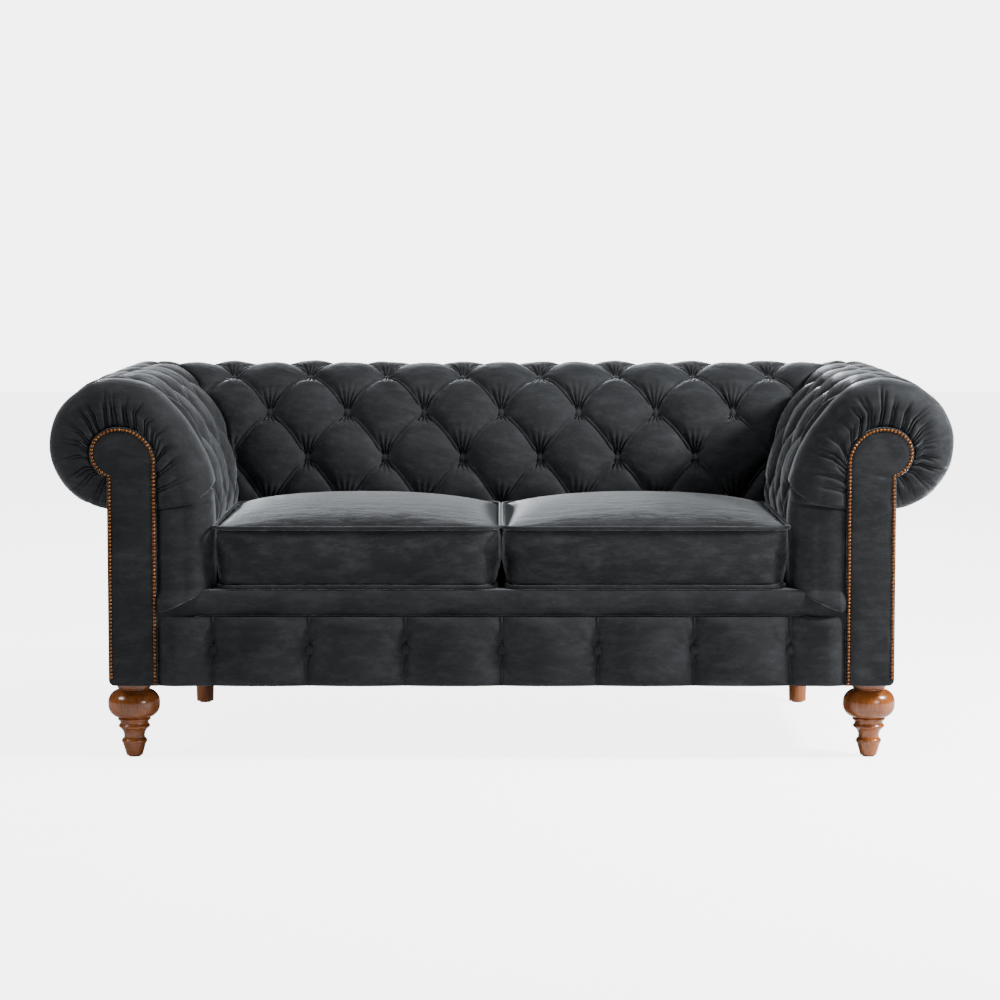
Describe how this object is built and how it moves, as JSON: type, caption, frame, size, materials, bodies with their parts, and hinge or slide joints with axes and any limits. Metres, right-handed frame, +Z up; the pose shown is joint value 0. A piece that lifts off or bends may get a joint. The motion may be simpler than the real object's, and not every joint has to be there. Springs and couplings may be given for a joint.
{
  "type": "chesterfield sofa",
  "caption": "Low two-seat sofa with rolled, deeply tufted back and arms of one height, loose piped seat cushions, nailed scroll fronts and turned front feet.",
  "frame": {"origin": "on the floor under the middle of the sofa's overall width and depth", "axes": "+X along the sofa to the right as it is faced, +Y from the front to the back, +Z up"},
  "size_m": [1.7508, 0.9004, 0.7442],
  "materials": {
    "beech": "plain sawn beech",
    "plywood": "plywood",
    "polished_wood": "turned and polished hardwood, orange brown",
    "steel": "plain steel",
    "glide_plastic": "dark nylon",
    "webbing": "woven elastic webbing",
    "wadding": "polyester wadding and felt",
    "deck_cloth": "dark lining cloth",
    "foam": "upholstery foam",
    "velvet": "dark charcoal velvet",
    "copper_nail": "antique copper dome",
    "zip_tape": "woven zip tape",
    "zip_metal": "brass zip slider"
  },
  "bodies": {
    "frame": {"front_posts": "beech", "rear_posts": "beech", "front_seat_rail": "beech", "rear_seat_rail": "beech", "side_seat_rails": "beech", "centre_seat_rail": "beech", "arm_top_rails": "beech", "back_top_rail": "beech", "arm_centre_posts": "beech", "back_centre_post": "beech", "arm_tacking_rails": "beech", "back_tacking_rails": "beech", "corner_blocks": "beech", "facing_boards": "plywood", "front_feet": "polished_wood", "rear_feet": "polished_wood", "corner_block_screws": "steel", "hanger_bolts": "steel", "seat_springs": "steel", "spring_clips": "steel", "foot_glides": "glide_plastic", "back_webbing": "webbing", "arm_webbing": "webbing", "seat_deck_pad": "wadding", "front_border_pad": "wadding", "seat_deck_cloth": "deck_cloth", "dust_cover": "deck_cloth", "front_lip_foam": "foam", "back_foam": "foam", "left_arm_foam": "foam", "right_arm_foam": "foam", "front_lip_cover": "velvet", "front_border_cover": "velvet", "front_border_buttons": "velvet", "back_cover": "velvet", "back_buttons": "velvet", "outside_arm_panels": "velvet", "outside_back_panel": "velvet", "left_arm_cover": "velvet", "right_arm_cover": "velvet", "left_arm_front_roll": "velvet", "right_arm_front_roll": "velvet", "left_arm_buttons": "velvet", "right_arm_buttons": "velvet", "left_facing_cover": "velvet", "right_facing_cover": "velvet", "left_facing_nails": "copper_nail", "right_facing_nails": "copper_nail"},
    "left_cushion": {"left_cushion_foam": "foam", "left_cushion_cover": "velvet", "left_cushion_piping": "velvet", "left_cushion_zip": "zip_tape"},
    "right_cushion": {"right_cushion_foam": "foam", "right_cushion_cover": "velvet", "right_cushion_piping": "velvet", "right_cushion_zip": "zip_tape"},
    "left_slider": {"left_zip_slider": "zip_metal"},
    "right_slider": {"right_zip_slider": "zip_metal"}
  },
  "joints": [
    {"name": "left_cushion_lift", "type": "slide", "parent": "frame", "child": "left_cushion", "axis": [0, 0, 1], "range_m": [0, 0.45]},
    {"name": "left_zip_slide", "type": "slide", "parent": "left_cushion", "child": "left_slider", "axis": [1, 0, 0], "range_m": [0, 0.408]},
    {"name": "right_cushion_lift", "type": "slide", "parent": "frame", "child": "right_cushion", "axis": [0, 0, 1], "range_m": [0, 0.45]},
    {"name": "right_zip_slide", "type": "slide", "parent": "right_cushion", "child": "right_slider", "axis": [1, 0, 0], "range_m": [0, 0.408]}
  ]
}
